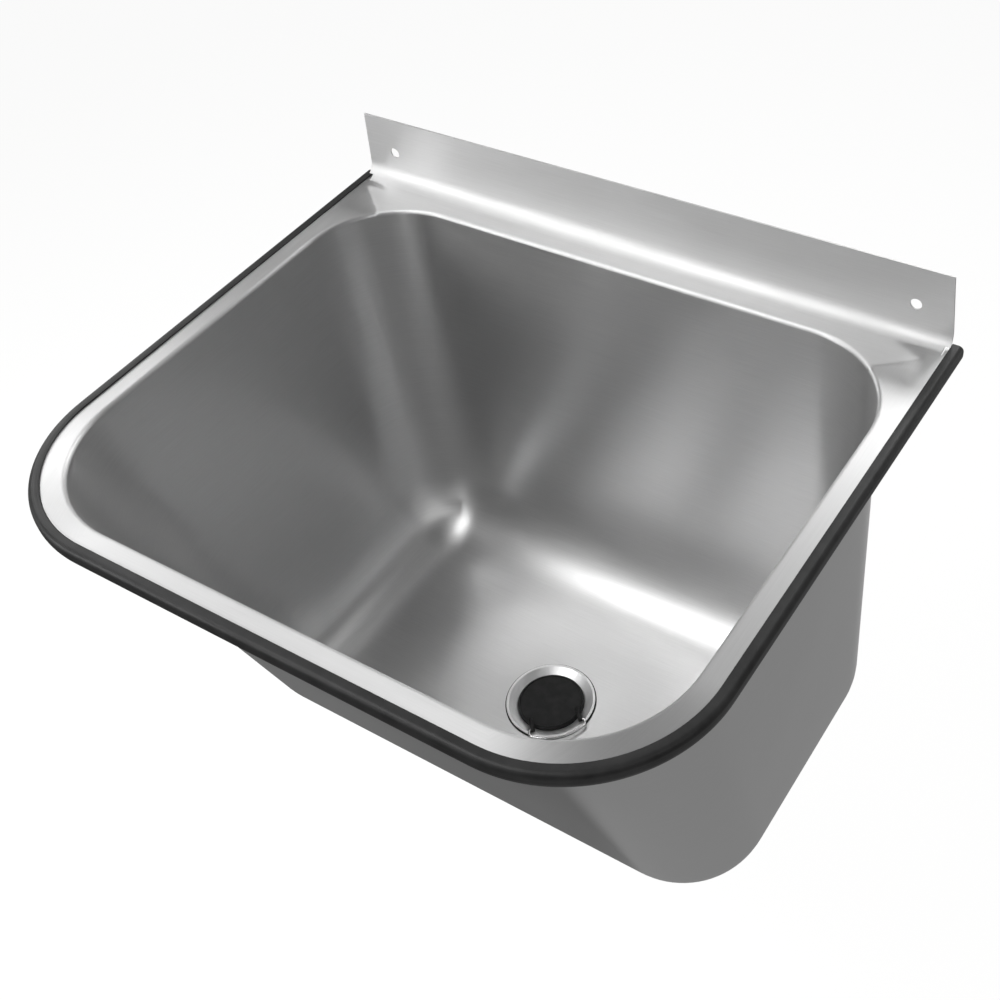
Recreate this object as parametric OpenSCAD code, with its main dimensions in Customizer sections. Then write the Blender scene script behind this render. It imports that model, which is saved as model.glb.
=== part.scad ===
// Wall-mounted laundry tub: a deep pressed steel bowl under a flat rim sheet that is bent up at the wall,
// a rubber strip on the rim's hem, a dished waste in the floor and a lift-out plug with a wire bail.
// Lengths are in millimetres. +X points right, +Y into the wall and +Z up.
// The origin is on the wall face, midway between the two wall screw holes.

/* [Rim sheet] */
// Width of the rim sheet between its two hems
rim_w = 510; // [480:5:600]
// Depth of the rim sheet from the wall to its front hem
rim_d = 425; // [410:5:500]
// Radius of the rim sheet's two front corners
rim_corner_r = 102; // [92:1:112]
// Thickness of the steel sheet
sheet_t = 1.2; // [0.8:0.1:1.5]
// Height of the down-turned hem
hem_h = 12; // [10:0.5:15]
// Inside radius of the hem's bend
hem_bend_r = 1.2; // [1:0.1:2]
// Flat land beside the opening, from the hem to the opening
side_land = 20; // [18:1:26]
// Flat land in front of the opening
front_land = 20; // [18:1:26]
// Land between the wall and the opening
back_land = 27; // [22:1:45]

/* [Upstand] */
// Height of the upstand above the rim
upstand_h = 56; // [45:1:100]
// Step from the sheet's side edge in to the upstand's foot
upstand_inset = 4; // [3:0.5:8]
// How far each end of the upstand leans in at its top
upstand_taper = 4; // [0:0.5:12]
// Inside radius of the bend between the rim and the upstand
upstand_bend_r = 2.5; // [1.5:0.1:4]
// Width of the relief notch at each end of the bend
relief_w = 4; // [3:0.5:6]
// Height of the relief notch
relief_h = 5; // [4.5:0.5:9]
// Distance between the two wall screw holes
screw_spacing = 445; // [400:5:460]
// Height of the wall screw holes above the rim
screw_h = 26; // [20:1:38]
// Diameter of the wall screw holes
screw_d = 8.5; // [6:0.5:10]

/* [Bowl] */
// Corner radius of the opening at the front
open_front_r = 86; // [76:1:96]
// Corner radius of the opening at the back
open_back_r = 76; // [60:1:90]
// Inside radius of the rolled lip round the opening
lip_bend_r = 1.8; // [1:0.1:2.5]
// Depth of the bowl from the rim to the foot of its walls
bowl_depth = 347; // [250:1:380]
// Radius between the floor and the walls
foot_r = 67; // [50:1:75]
// How far the front wall rakes back towards the floor
front_rake = 100; // [60:1:110]
// How far each side wall leans in towards the floor
side_draft = 4; // [0:1:12]
// Fall of the floor from the foot of the walls to the waste
waste_dip = 4; // [2:0.5:8]
// Distance of the waste from the wall
waste_y = 180; // [165:1:195]

/* [Edge strip] */
// How far the rubber stands out past the hem
strip_out = 3.4; // [2.5:0.1:5]
// Width of the lip that lies on the rim
strip_lip_w = 5; // [4:0.1:7]
// Thickness of that lip
strip_lip_t = 1.2; // [0.8:0.1:1.6]
// Radius of the strip's upper outer corner
strip_top_r = 4; // [3:0.1:4.4]
// Radius of the strip's lower outer side
strip_nose_r = 10; // [9:0.1:12]
// Rubber below the hem's edge
strip_under = 3; // [2.5:0.1:5]
// Thickness of the leg behind the hem
strip_leg_t = 2; // [1.5:0.1:3]
// Height of that leg
strip_leg_h = 8; // [5:0.5:9]

/* [Waste] */
// Radius of the waste hole in the floor
waste_hole_r = 35.5; // [35:0.1:37]
// How far the flange laps over the floor round the hole
flange_lap = 2.5; // [2:0.1:5]
// Thickness of the flange's steel
flange_t = 1; // [0.8:0.1:1.2]
// Thickness of the seal under the flange
flange_seal_t = 0.9; // [0.6:0.1:1.5]
// Radius of the plug's seat at its mouth
seat_r = 28.8; // [27:0.1:29.5]
// How much narrower the seat is at its bottom
seat_taper = 1.5; // [0.5:0.1:2.5]
// Depth of the seat's mouth below the floor
seat_drop = 1.5; // [1:0.1:2]
// Depth of the seat
seat_h = 10.5; // [9:0.5:14]
// Radius of each hole in the strainer grid
grid_hole_r = 6; // [4:0.5:6.5]
// Number of holes in the strainer grid
grid_holes = 6; // [4:1:6]
// Thickness of the seal under the floor
body_seal_t = 3; // [2:0.5:5]
// Wall of the waste body's cup
cup_wall = 2.5; // [2:0.1:3.5]
// Depth of the cup below its flange
cup_h = 25.8; // [24:0.1:40]
// Height of the cone between the cup and the tail
cone_h = 12; // [8:0.5:20]
// Outside radius of the tail's thread, G 1 1/2
tail_r = 23.9; // [20:0.1:24.5]
// Wall of the tail
tail_wall = 3.9; // [2.5:0.1:5]
// Length of the tail
tail_h = 24; // [18:1:40]
// Radius of the centre screw's shank, M6
screw_r = 3; // [2.5:0.1:4]
// Radius of the centre screw's head
screw_head_r = 6; // [5:0.1:7]
// Height of the centre screw's head
screw_head_h = 3; // [2:0.1:4]

/* [Plug] */
// Height of the plug's top above the floor
plug_top = 0.6; // [0.2:0.1:1]
// Radius of the plug's rounded top edge
plug_edge_r = 1.5; // [1:0.1:1.8]
// Radius of the raised bead's own section
bead_r = 0.8; // [0.5:0.1:1]
// Radius of the bail's wire
wire_r = 1; // [0.8:0.1:1.2]
// Distance of the bail's hinge from the waste's centre
hinge_u = 27.5; // [26.5:0.1:28.5]
// Height of the bail's hinge above the floor
hinge_z = 3.9; // [3.7:0.1:5]
// Radius of the bail's outer run about the waste's centre
bail_r = 40.3; // [40:0.1:43]
// Half the distance between the inner faces of the plug's two ears
ear_v = 18.5; // [17:0.1:19]
// Thickness of each ear
ear_t = 3.5; // [2.5:0.1:4]
// Direction in which the bail is folded out, in degrees from +X
bail_turn = -46; // [-180:1:180]

/* [Hidden] */
$fn = 96;
hull_fn = 40;

// Gaps between pieces that are pushed together
strip_fit = 0.1;
screw_fit = 0.05;
hinge_fit = 0.05;
plug_gap = 0.3;
seal_gap = 0.3;
pin_gap = 0.2;
// How far a cut runs past the face it starts from
cut = 1;

// Rim and opening
open_w = rim_w - 2 * side_land;
open_front = rim_d - front_land;
hem_out_r = hem_bend_r + sheet_t;
upstand_out_r = upstand_bend_r + sheet_t;
lip_out_r = lip_bend_r + sheet_t;
upstand_foot = rim_w / 2 - upstand_inset;
upstand_head = upstand_foot - upstand_taper;
bend_end = upstand_foot - relief_w;
relief_slot = relief_w / 2;
relief_d = upstand_out_r + 1;

// Bowl
collar_h = 1;
floor_z = -bowl_depth - waste_dip;
foot_x = open_w / 2 - side_draft - foot_r;
foot_front = open_front - front_rake - foot_r;
foot_back = back_land + foot_r;
foot_z = -bowl_depth + foot_r;

// Edge strip
strip_bottom = -hem_h - strip_under;
strip_back = -sheet_t - strip_leg_t;
nose_x = strip_out - strip_nose_r;
nose_z = strip_bottom + sqrt(pow(strip_nose_r, 2) - pow(strip_back - nose_x, 2));

// Waste, with heights measured from the floor round the hole
flange_r = waste_hole_r + flange_lap;
land_inset = 2;
land_r = flange_r - land_inset;
land_z = flange_seal_t + flange_t;
seal_edge = 1;
seal_r = flange_r + seal_edge;
seat_bottom = -seat_drop - seat_h;
grid_edge = 1.3;
grid_r = (screw_head_r + seat_r - seat_taper - grid_edge) / 2;
body_seal_w = 3;
body_seal_r = seal_r + body_seal_w;
body_flange_r = body_seal_r + 1;
body_flange_t = 3;
waste_seat_r = body_flange_r + 3;
body_top = -sheet_t - body_seal_t;
cup_step = 2.5;
cup_r = waste_hole_r - cup_step;
cup_bottom = body_top - cup_h;
cone_bottom = cup_bottom - cone_h;
tail_bore = tail_r - tail_wall;
boss_wall = 2.5;
boss_r = screw_r + boss_wall;
boss_h = 16;
rib_t = 2.5;
rib_h = 6;
screw_below_cup = 10;
screw_end = cup_bottom - screw_below_cup;
screw_slot_w = 1.6;
screw_slot_d = 1.4;

// Plug
plug_r = seat_r - plug_gap;
screw_room = 4;
plug_recess_r = screw_head_r + screw_room;
plug_recess_h = screw_head_h + screw_room / 2;
bead_ring_r = plug_r - plug_edge_r - bead_r / 2;
knuckle_wall = 0.9;
knuckle_r = wire_r + knuckle_wall;
ear_out = ear_v + ear_t;
ear_foot_u = bead_ring_r / 2 - 2;
ear_foot_w = 4.5;
ear_foot_in = 0.5;
ear_slope = 10;
ear_bottom = land_z + seal_gap;
ear_top = hinge_z + knuckle_r;
pin_bend_in = 0.6;
pin_bend_r = wire_r + pin_bend_in;
arm_v = ear_out + pin_bend_r;
bail_half = asin(arm_v / bail_r);
arm_end = bail_r * cos(bail_half);
corner_ball_r = wire_r + hinge_fit;
pin_start = ear_v + pin_gap;

// Places a child in the frame whose zero height is the rim's upper face.
module at_rim() translate([0, 0, -screw_h]) children();

// Places a child on the waste's axis at the height of the floor round the hole.
module at_waste() at_rim() translate([0, -waste_y, floor_z]) children();

// The plug's own frame: x points from the waste's centre to the bail's outer run, y runs along its hinge.
module at_bail() at_waste() rotate([0, 0, bail_turn]) children();

// Sweeps a section along a straight edge; the section's x points outwards and its y upwards.
module straight_run(from, turn, length)
    translate([from[0], from[1], 0]) rotate([0, 0, turn])
        rotate([90, 0, 0]) linear_extrude(length) children();

// Sweeps a section round a quarter turn about a centre.
module corner_run(centre, turn, r)
    translate([centre[0], centre[1], 0]) rotate([0, 0, turn])
        rotate_extrude(angle = 90) translate([r, 0]) children();

// Sweeps a section along the rim sheet's left, front and right edges.
module along_edge() {
    side_l = rim_d - rim_corner_r;
    for (side = [0, 1]) mirror([side, 0, 0]) {
        straight_run([rim_w / 2, 0], 0, side_l) children();
        corner_run([rim_w / 2 - rim_corner_r, -side_l], -90, rim_corner_r) children();
    }
    straight_run([rim_w / 2 - rim_corner_r, -rim_d], -90, rim_w - 2 * rim_corner_r) children();
}

// Sweeps a section right round the opening.
module along_opening() {
    back_y = -back_land - open_back_r;
    front_y = -open_front + open_front_r;
    for (side = [0, 1]) mirror([side, 0, 0]) {
        straight_run([open_w / 2, back_y], 0, back_y - front_y) children();
        corner_run([open_w / 2 - open_front_r, front_y], -90, open_front_r) children();
        corner_run([open_w / 2 - open_back_r, back_y], 0, open_back_r) children();
    }
    straight_run([open_w / 2 - open_front_r, -open_front], -90, open_w - 2 * open_front_r) children();
    straight_run([open_back_r - open_w / 2, -back_land], 90, open_w - 2 * open_back_r) children();
}

// A quarter of a bent sheet's section, to the upper right of the bend's centre.
module bend_section(inner_r) {
    intersection() {
        difference() {
            circle(inner_r + sheet_t);
            circle(inner_r);
        }
        square(inner_r + sheet_t + cut);
    }
}

// Outline of the rim sheet in plan, drawn in from its edge.
module rim_plan(inset) {
    r = rim_corner_r - inset;
    half = rim_w / 2 - inset;
    front = rim_d - inset;
    translate([-half, r - front]) square([2 * half, front - r]);
    translate([r - half, -front]) square([2 * (half - r), front]);
    for (side = [-1, 1]) translate([side * (half - r), r - front]) circle(r);
}

// Outline of the opening in plan, drawn out from its edge.
module opening_plan(grow) {
    rf = open_front_r + grow;
    rb = open_back_r + grow;
    half = open_w / 2 + grow;
    front = open_front + grow;
    back = back_land - grow;
    translate([-half, rf - front]) square([2 * half, front - rf - back - rb]);
    translate([rf - half, -front]) square([2 * (half - rf), rf]);
    translate([rb - half, -back - rb]) square([2 * (half - rb), rb]);
    for (side = [-1, 1]) {
        translate([side * (half - rf), rf - front]) circle(rf);
        translate([side * (half - rb), -back - rb]) circle(rb);
    }
}

// Section of the hem: its bend and its leg, outwards from the sheet's edge.
module hem_section() {
    translate([-hem_out_r, -hem_out_r]) bend_section(hem_bend_r);
    translate([-sheet_t, -hem_h]) square([sheet_t, hem_h - hem_out_r]);
}

// The flat part of the rim between its bends.
module deck() {
    translate([0, 0, -sheet_t]) linear_extrude(sheet_t) difference() {
        rim_plan(hem_out_r);
        opening_plan(lip_out_r);
        translate([-bend_end - relief_slot, -upstand_out_r]) square([2 * (bend_end + relief_slot), rim_d]);
        for (side = [0, 1]) mirror([side, 0])
            translate([bend_end, -relief_d]) square([relief_slot, relief_d + cut]);
    }
}

// The plate against the wall, with its two screw holes and its relief notches.
module upstand() {
    difference() {
        rotate([90, 0, 0]) linear_extrude(sheet_t) difference() {
            polygon([
                [-upstand_foot, 0], [upstand_foot, 0], [upstand_head, upstand_h], [-upstand_head, upstand_h]
            ]);
            translate([-rim_w, -cut]) square([2 * rim_w, upstand_bend_r + cut]);
            for (side = [0, 1]) mirror([side, 0]) translate([bend_end, -cut]) square([rim_w, relief_h + cut]);
        }
        for (side = [-1, 1])
            translate([side * screw_spacing / 2, cut, screw_h])
                rotate([90, 0, 0]) cylinder(r = screw_d / 2, h = sheet_t + 2 * cut);
    }
    straight_run([-bend_end, 0], 90, 2 * bend_end)
        translate([-upstand_out_r, upstand_bend_r]) mirror([0, 1]) bend_section(upstand_bend_r);
}

module rim_sheet() {
    color("silver") at_rim() {
        deck();
        upstand();
        along_edge() hem_section();
        along_opening() translate([lip_out_r, -lip_out_r]) mirror([1, 0]) bend_section(lip_bend_r);
    }
}

// The bowl's form as one convex body: collar, walls, foot radius and the fall to the waste.
module bowl_form(grow, top) {
    hull($fn = hull_fn) {
        for (side = [-1, 1]) {
            translate([side * (open_w / 2 - open_front_r), open_front_r - open_front, -lip_out_r - collar_h])
                cylinder(r = open_front_r + grow, h = collar_h + top, $fn = hull_fn);
            translate([side * (open_w / 2 - open_back_r), -back_land - open_back_r, -lip_out_r - collar_h])
                cylinder(r = open_back_r + grow, h = collar_h + top, $fn = hull_fn);
            for (y = [-foot_front, -foot_back])
                translate([side * foot_x, y, foot_z]) sphere(foot_r + grow, $fn = hull_fn);
        }
        translate([0, -waste_y, floor_z - grow]) cylinder(r = waste_seat_r, h = waste_dip / 2, $fn = hull_fn);
    }
}

module bowl() {
    color("silver") at_rim() difference() {
        bowl_form(sheet_t, 0);
        bowl_form(0, cut);
        translate([0, -waste_y, floor_z - sheet_t - cut]) cylinder(r = waste_hole_r, h = sheet_t + 2 * cut);
    }
}

// Outside of the strip's section, before the slot for the sheet is cut.
module strip_outline() {
    corner_x = strip_out - strip_top_r;
    corner_z = strip_lip_t - strip_top_r;
    // lip on the rim, with a half-round edge
    translate([strip_lip_t / 2 - strip_lip_w, 0])
        square([corner_x + strip_lip_w - strip_lip_t / 2, strip_lip_t]);
    translate([strip_lip_t / 2 - strip_lip_w, strip_lip_t / 2]) circle(strip_lip_t / 2);
    // upper outer corner
    translate([corner_x, corner_z]) intersection() {
        circle(strip_top_r);
        square(strip_top_r + cut);
    }
    // side, from the back of the leg to the outer face
    translate([strip_back, nose_z]) square([strip_out - strip_back, corner_z - nose_z]);
    translate([strip_back, corner_z]) square([corner_x - strip_back, -corner_z]);
    // lower outer side
    intersection() {
        translate([nose_x, nose_z]) circle(strip_nose_r);
        translate([strip_back, nose_z - strip_nose_r]) square([strip_nose_r, strip_nose_r]);
    }
}

// Room in the strip for the sheet, its bend and the open space under the rim.
module strip_slot() {
    // the hem's leg
    translate([-sheet_t - strip_fit, -hem_h - strip_fit])
        square([sheet_t + 2 * strip_fit, hem_h + strip_fit - hem_out_r]);
    // the bend and the rim's upper face
    translate([-hem_out_r, -hem_out_r]) intersection() {
        circle(hem_out_r + strip_fit);
        square(hem_out_r + strip_fit + cut);
    }
    translate([-strip_lip_w - cut, -hem_out_r - cut])
        square([strip_lip_w + cut - hem_out_r, hem_out_r + cut + strip_fit]);
    // space over the leg, under the rim
    translate([strip_back - cut, strip_leg_h - hem_h])
        square([-strip_back + cut - sheet_t, hem_h - strip_leg_h - cut]);
}

module edge_strip() {
    color("#1b1b1c") at_rim() along_edge() difference() {
        strip_outline();
        strip_slot();
    }
}

// Section of the waste flange: land, dish, tapered seat and the flat bottom that carries the grid.
module flange_section() {
    dish = (land_z + seat_drop) / (land_r - seat_r);
    under = flange_t * sqrt(1 + pow(dish, 2));
    polygon([
        [0, seat_bottom], [seat_r - seat_taper, seat_bottom], [seat_r, -seat_drop], [land_r, land_z],
        [flange_r, land_z], [flange_r, flange_seal_t], [land_r + (under - flange_t) / dish, flange_seal_t],
        [seat_r + flange_t, -seat_drop - under + flange_t * dish],
        [seat_r - seat_taper + flange_t, seat_bottom],
        [seat_r - seat_taper + flange_t, seat_bottom - flange_t], [0, seat_bottom - flange_t]
    ]);
}

module waste_flange() {
    color("gainsboro") at_waste() difference() {
        rotate_extrude() flange_section();
        translate([0, 0, seat_bottom - flange_t - cut]) {
            cylinder(r = screw_r + 2 * screw_fit, h = flange_t + 2 * cut);
            for (i = [0:grid_holes - 1])
                rotate([0, 0, i * 360 / grid_holes]) translate([grid_r, 0, 0])
                    cylinder(r = grid_hole_r, h = flange_t + 2 * cut);
        }
    }
}

// A flat ring from one height to another.
module ring(outer_r, inner_r, bottom, top) {
    translate([0, 0, bottom]) difference() {
        cylinder(r = outer_r, h = top - bottom);
        translate([0, 0, -cut]) cylinder(r = inner_r, h = top - bottom + 2 * cut);
    }
}

module flange_seal() {
    color("#202020") at_waste() ring(seal_r, land_r + seal_gap, 0, flange_seal_t);
}

module body_seal() {
    color("#202020") at_waste() ring(body_seal_r, waste_hole_r + seal_gap, body_top, -sheet_t);
}

// Section of the waste body: flange, cup, cone and tail.
module body_section() {
    polygon([
        [cup_r, body_top], [body_flange_r, body_top], [body_flange_r, body_top - body_flange_t],
        [cup_r + cup_wall, body_top - body_flange_t], [cup_r + cup_wall, cup_bottom], [tail_r, cone_bottom],
        [tail_r, cone_bottom - tail_h], [tail_bore, cone_bottom - tail_h], [tail_bore, cone_bottom],
        [cup_r, cup_bottom]
    ]);
}

module waste_body() {
    color("#e8e8e6") at_waste() {
        rotate_extrude() body_section();
        difference() {
            union() {
                translate([0, 0, screw_end]) cylinder(r = boss_r, h = boss_h);
                for (i = [0:3])
                    rotate([0, 0, 90 * i]) translate([0, -rib_t / 2, cup_bottom])
                        cube([cup_r + cup_wall / 2, rib_t, rib_h]);
            }
            translate([0, 0, screw_end - cut]) cylinder(r = screw_r + screw_fit, h = boss_h + 2 * cut);
        }
    }
}

module waste_screw() {
    color("gainsboro") at_waste() difference() {
        union() {
            translate([0, 0, screw_end]) cylinder(r = screw_r, h = seat_bottom - screw_end);
            translate([0, 0, seat_bottom]) cylinder(r = screw_head_r, h = screw_head_h);
        }
        translate([-screw_head_r - cut, -screw_slot_w / 2, seat_bottom + screw_head_h - screw_slot_d])
            cube([2 * (screw_head_r + cut), screw_slot_w, screw_slot_d + cut]);
    }
}

// One of the plug's two ears, which holds an end of the bail.
module ear() {
    ear_foot_z = plug_top - ear_foot_in;
    translate([0, ear_out, 0]) rotate([90, 0, 0]) linear_extrude(ear_t) {
        polygon([
            [ear_foot_u, ear_foot_z], [ear_foot_u + ear_foot_w, ear_foot_z],
            [ear_foot_u + 2 * ear_foot_w - 1, ear_bottom], [hinge_u, ear_bottom], [hinge_u, ear_top],
            [ear_foot_u + ear_slope, ear_top]
        ]);
        translate([hinge_u, hinge_z]) circle(knuckle_r);
    }
}

module plug() {
    color("#161617") at_bail() difference() {
        union() {
            rotate_extrude() {
                polygon([
                    [0, seat_bottom], [plug_r - seat_taper, seat_bottom], [plug_r, -seat_drop],
                    [plug_r, plug_top - plug_edge_r], [plug_r - plug_edge_r, plug_top - plug_edge_r],
                    [plug_r - plug_edge_r, plug_top], [0, plug_top]
                ]);
                translate([plug_r - plug_edge_r, plug_top - plug_edge_r]) intersection() {
                    circle(plug_edge_r);
                    square(plug_edge_r + cut);
                }
                translate([bead_ring_r, plug_top]) circle(bead_r);
            }
            for (side = [0, 1]) mirror([0, side, 0]) ear();
        }
        translate([0, 0, seat_bottom - cut]) cylinder(r = plug_recess_r, h = plug_recess_h + cut);
        translate([hinge_u, ear_out + cut, hinge_z])
            rotate([90, 0, 0]) cylinder(r = wire_r + hinge_fit, h = 2 * (ear_out + cut));
    }
}

// A piece of the wire, bent round a centre in the bail's plane from one direction to another.
module wire_bend(centre, r, start, stop)
    translate([centre[0], centre[1], 0]) rotate([0, 0, start])
        rotate_extrude(angle = stop - start) translate([r, 0]) circle(wire_r);

module bail_handle() {
    color("gainsboro") at_bail() translate([0, 0, hinge_z]) {
        wire_bend([0, 0], bail_r, -bail_half, bail_half);
        for (side = [0, 1]) mirror([0, side, 0]) {
            translate([arm_end, arm_v, 0]) sphere(corner_ball_r);
            translate([hinge_u + pin_bend_r, arm_v, 0])
                rotate([0, 90, 0]) cylinder(r = wire_r, h = arm_end - hinge_u - pin_bend_r);
            wire_bend([hinge_u + pin_bend_r, ear_out], pin_bend_r, 90, 180);
            translate([hinge_u, ear_out, 0]) rotate([90, 0, 0]) cylinder(r = wire_r, h = ear_out - pin_start);
        }
    }
}

bowl();
rim_sheet();
edge_strip();
waste_flange();
flange_seal();
waste_body();
body_seal();
waste_screw();
plug();
bail_handle();
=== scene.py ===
import math

import bmesh
import bpy
from mathutils import Matrix, Vector


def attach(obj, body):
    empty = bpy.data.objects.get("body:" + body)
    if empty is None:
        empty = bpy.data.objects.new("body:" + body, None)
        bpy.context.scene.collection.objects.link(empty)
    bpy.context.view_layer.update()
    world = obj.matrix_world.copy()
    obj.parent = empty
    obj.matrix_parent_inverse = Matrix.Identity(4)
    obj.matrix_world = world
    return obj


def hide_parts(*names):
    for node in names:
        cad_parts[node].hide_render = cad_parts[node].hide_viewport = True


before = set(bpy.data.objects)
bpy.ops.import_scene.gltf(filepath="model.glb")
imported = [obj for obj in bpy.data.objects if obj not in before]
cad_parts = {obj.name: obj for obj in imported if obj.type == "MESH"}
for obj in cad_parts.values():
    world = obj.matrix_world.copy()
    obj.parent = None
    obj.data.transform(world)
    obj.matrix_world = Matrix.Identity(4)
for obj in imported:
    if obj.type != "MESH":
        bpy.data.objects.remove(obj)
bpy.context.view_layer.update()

# Looks of the wall-mounted laundry tub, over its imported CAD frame.
# Meshes are drawn in millimetres with the rim's upper face at height 0, and brought into the frame when
# they are finished.
millimetre = 0.001
rimHeight = -26.0  # the rim's upper face, below the line of the wall screws

sheet = {
    "thickness": 1.2,
    "halfWidth": 255.0,
    "depth": 425.0,
    "cornerRadius": 102.0,
}

opening = {
    "halfWidth": 235.0,
    "front": 405.0,
    "back": 27.0,
    "frontRadius": 86.0,
    "backRadius": 76.0,
    "lipRadius": 3.0,  # outside of the rolled lip
    "cornerSteps": 20,
    "straightSteps": 14,
}

waste = {"y": -180.0, "floor": -351.0}


# Shared tools

def srgb(code):
    # hex colour to the linear values that the shaders take
    parts = [int(code[i:i + 2], 16) / 255 for i in (1, 3, 5)]
    linear = [c / 12.92 if c <= 0.04045 else ((c + 0.055) / 1.055) ** 2.4 for c in parts]
    return (*linear, 1.0)


def addNode(tree, kind, settings=None, links=None):
    # a key that begins with a small letter is a setting of the node, any other is one of its sockets
    node = tree.nodes.new("ShaderNode" + kind)
    for key, value in (settings or {}).items():
        if isinstance(key, str) and key[0].islower():
            setattr(node, key, value)
        else:
            node.inputs[key].default_value = value
    for key, source in (links or {}).items():
        tree.links.new(source, node.inputs[key])
    return node


def newMaterial(name):
    made = bpy.data.materials.new(name)
    made.use_nodes = True
    made.node_tree.nodes.clear()
    return made, made.node_tree


def setRamp(node, stops):
    # grey ramp from stops of place and value
    ramp = node.color_ramp
    for place, value in stops[2:]:
        ramp.elements.new(place)
    for element, (place, value) in zip(ramp.elements, stops):
        element.position = place
        element.color = (value, value, value, 1)
    return node


def nextLoop(bm, edges, place):
    # extrudes a loop of edges and puts each new vertex where place says
    made = bmesh.ops.extrude_edge_only(bm, edges=edges)["geom"]
    verts = [g for g in made if isinstance(g, bmesh.types.BMVert)]
    fresh = set(verts)
    for vert in verts:
        vert.co = place(vert)
    return [g for g in made if isinstance(g, bmesh.types.BMEdge) and set(g.verts) <= fresh]


def faceUp(bm, test):
    # turns every face over if the one that test finds points down
    bmesh.ops.recalc_face_normals(bm, faces=bm.faces)
    bm.faces.ensure_lookup_table()
    probe = min(bm.faces, key=test)
    if probe.normal.z < 0:
        bmesh.ops.reverse_faces(bm, faces=bm.faces)


def toFrame(bm):
    # from millimetres over the rim's upper face to the frame's metres
    bmesh.ops.translate(bm, vec=(0, 0, rimHeight), verts=bm.verts)
    bmesh.ops.scale(bm, vec=(millimetre,) * 3, verts=bm.verts)


def finishPiece(bm, name, material, body, node):
    # smooth mesh of one piece, told to ride its body, in place of its CAD node, which is hidden
    toFrame(bm)
    for face in bm.faces:
        face.smooth = True
    mesh = bpy.data.meshes.new(name)
    bm.to_mesh(mesh)
    bm.free()
    made = bpy.data.objects.new(name, mesh)
    bpy.context.scene.collection.objects.link(made)
    mesh.materials.append(material)
    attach(made, body)
    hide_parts(node)
    return made


def applyModifiers(made, sharpAngle):
    # turns what the modifiers make into the mesh itself, with its sharp edges marked
    shaped = made.evaluated_get(bpy.context.evaluated_depsgraph_get())
    mesh = bpy.data.meshes.new_from_object(shaped)
    made.modifiers.clear()
    made.data = mesh
    mesh.set_sharp_from_angle(angle=math.radians(sharpAngle))


def thicken(made, thickness):
    wall = made.modifiers.new("wall", "SOLIDIFY")
    wall.thickness = thickness * millimetre
    wall.offset = -1
    wall.use_even_offset = True


# Stations round the opening, each with its outward direction, its place on the edge and its foot's centre

foot = {"x": 164.0, "front": -238.0, "back": -94.0, "z": -280.0, "radius": 67.0}


def ringStations():
    corners = []
    for sideX, sideY, start in ((1, -1, -90), (1, 1, 0), (-1, 1, 90), (-1, -1, 180)):
        radius = opening["frontRadius"] if sideY < 0 else opening["backRadius"]
        centreY = radius - opening["front"] if sideY < 0 else -opening["back"] - radius
        centre = Vector((sideX * (opening["halfWidth"] - radius), centreY))
        footCentre = Vector((sideX * foot["x"], foot["front"] if sideY < 0 else foot["back"]))
        arc = []
        for step in range(opening["cornerSteps"] + 1):
            angle = math.radians(start + 90 * step / opening["cornerSteps"])
            out = Vector((math.cos(angle), math.sin(angle)))
            edge = centre + radius * out
            arc.append({"out": out, "edge": edge, "foot": footCentre, "corner": centre, "step": step})
        corners.append(arc)
    stations = []
    for number, arc in enumerate(corners):
        stations += arc
        last = arc[-1]
        first = corners[(number + 1) % 4][0]
        for step in range(1, opening["straightSteps"]):
            share = step / opening["straightSteps"]
            edge = last["edge"].lerp(first["edge"], share)
            footCentre = last["foot"].lerp(first["foot"], share)
            stations.append({"out": last["out"], "edge": edge, "foot": footCentre, "corner": None, "step": 0})
    length = 0.0
    for number, station in enumerate(stations):
        if number:
            length += (station["edge"] - stations[number - 1]["edge"]).length
        station["along"] = length
    return stations


def startLoop(bm, stations, place):
    # closed loop with one vertex for each station, which keeps its station's number
    layer = bm.verts.layers.int.new("station")
    loop = bmesh.ops.create_circle(bm, segments=len(stations), radius=1)["verts"]
    for number, vert in enumerate(loop):
        vert[layer] = number
        vert.co = place(number)
    return layer, list({edge for vert in loop for edge in vert.link_edges})


# Materials

steelLook = {
    "bowlColour": "#cfcfcf",
    "bowlRoughness": 0.36,
    "bowlAnisotropy": 0.65,
    "rimColour": "#d2d2d2",
    "rimRoughness": 0.48,
    "rimAnisotropy": 0.8,
    "grainSpacing": 0.9,  # real satin grain is finer than 0.3 mm; drawn coarser so that it shows
    "grainLength": 45.0,
    "grainSpread": 0.045,  # how much the roughness varies with the grain
    "cloudSpread": (-0.015, 0.02),  # and from patch to patch
    "grainTone": (0.94, 1.04),
    "grainBump": 0.06,
    "scratchLength": 30.0,
    "scratchSpacing": 6.0,
    "scratchWidth": 0.012,  # share of the spacing
    "scratchRoughness": 0.02,
}


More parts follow.
